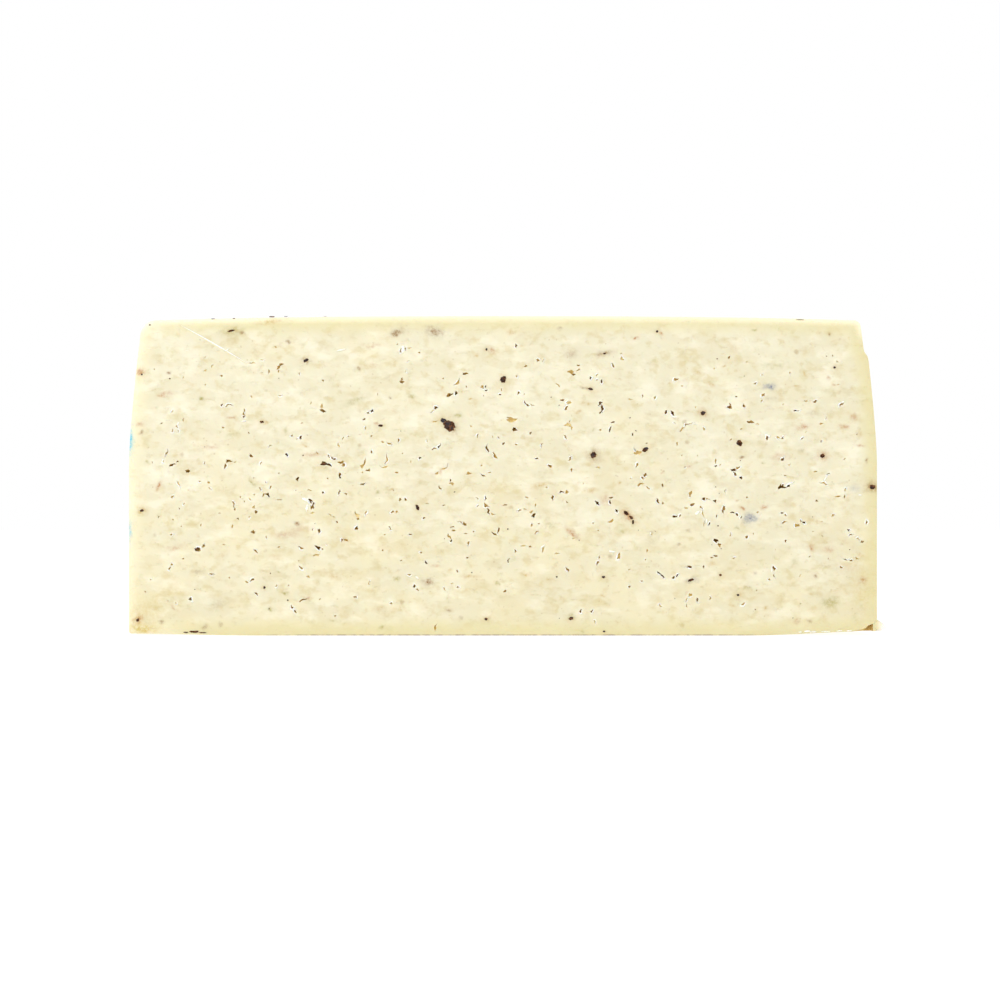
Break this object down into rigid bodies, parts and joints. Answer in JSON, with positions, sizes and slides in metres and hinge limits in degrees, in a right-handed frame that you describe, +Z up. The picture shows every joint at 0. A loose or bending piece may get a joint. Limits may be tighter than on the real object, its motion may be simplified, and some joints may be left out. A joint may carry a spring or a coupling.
{
  "type": "truffle cheese half wheel",
  "caption": "Half wheel of pale pressed cheese with dark truffle pieces, its flat cut face showing small ragged openings between the curds, with a thin pale rind.",
  "frame": {"origin": "middle of the footprint's bounding box, on the surface that the cheese rests on", "axes": "+Z up through the wheel's thickness, +X along the cut face to its right end as seen from the front, -Y out of the cut face, so the curved rind is towards +Y"},
  "size_m": [0.2428, 0.1204, 0.1025],
  "materials": {
    "cheese_paste": "satin"
  },
  "bodies": {
    "root": {"cheese": "cheese_paste"}
  },
  "joints": []
}
